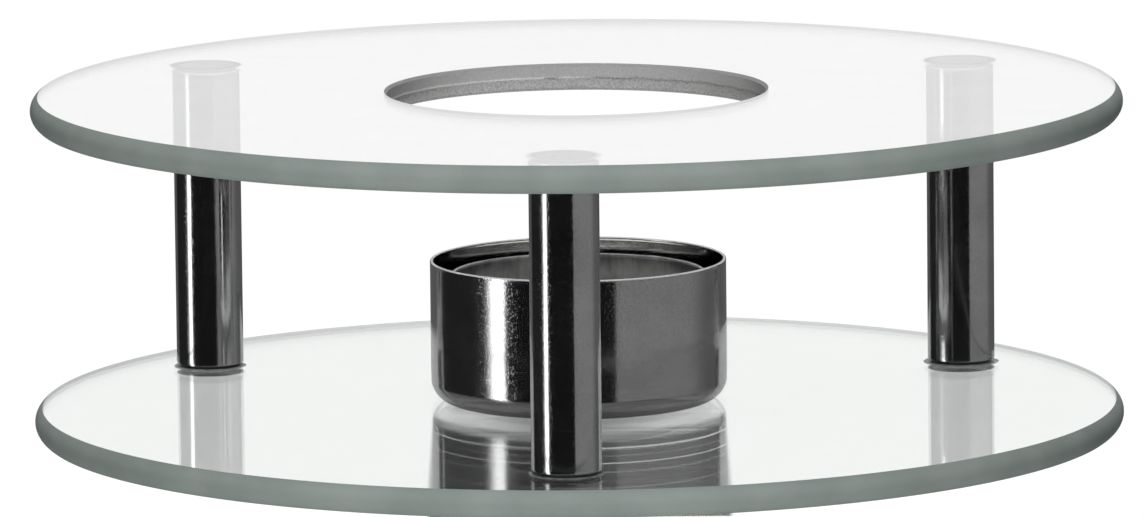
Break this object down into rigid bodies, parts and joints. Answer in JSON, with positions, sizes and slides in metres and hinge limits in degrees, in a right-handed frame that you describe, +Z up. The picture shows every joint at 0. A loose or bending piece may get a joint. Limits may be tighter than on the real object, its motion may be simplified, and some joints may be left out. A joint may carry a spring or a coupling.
{
  "type": "teapot warmer",
  "caption": "Round glass teapot warmer: clear plates held apart by polished round posts, with a hole over the flame and a loose drawn metal cup for a tea light.",
  "frame": {"origin": "centre of the lower plate's underside, on the table", "axes": "+Z up through the flame hole, -Y towards the front post, +X towards the right-hand post seen from the front"},
  "size_m": [0.16, 0.16, 0.05],
  "materials": {
    "clear_glass": "clear float glass, polished faces, satin ground grey-green edges",
    "polished_post": "polished, faint turning marks and pitting",
    "clear_adhesive": "cured clear adhesive",
    "drawn_steel": "drawn sheet, polished, fine orange-peel grain",
    "tealight_aluminium": "pressed foil-thin sheet with fine vertical wrinkles",
    "wax": "set paraffin wax",
    "cotton_wick": "braided waxed cotton",
    "tinned_foot": "stamped tinned sheet"
  },
  "bodies": {
    "stand": {"base_glass": "clear_glass", "top_glass": "clear_glass", "post_front": "polished_post", "post_right": "polished_post", "post_left": "polished_post", "lower_bond_front": "clear_adhesive", "lower_bond_right": "clear_adhesive", "lower_bond_left": "clear_adhesive", "upper_bond_front": "clear_adhesive", "upper_bond_right": "clear_adhesive", "upper_bond_left": "clear_adhesive"},
    "cup": {"candle_cup": "drawn_steel"},
    "tealight": {"tealight_shell": "tealight_aluminium", "tealight_wax": "wax", "tealight_wick": "cotton_wick", "wick_foot": "tinned_foot"}
  },
  "joints": [
    {"name": "cup_lift", "type": "slide", "parent": "stand", "child": "cup", "axis": [0, 0, 1], "range_m": [0, 0.06]},
    {"name": "tealight_lift", "type": "slide", "parent": "cup", "child": "tealight", "axis": [0, 0, 1], "range_m": [0, 0.06]}
  ]
}
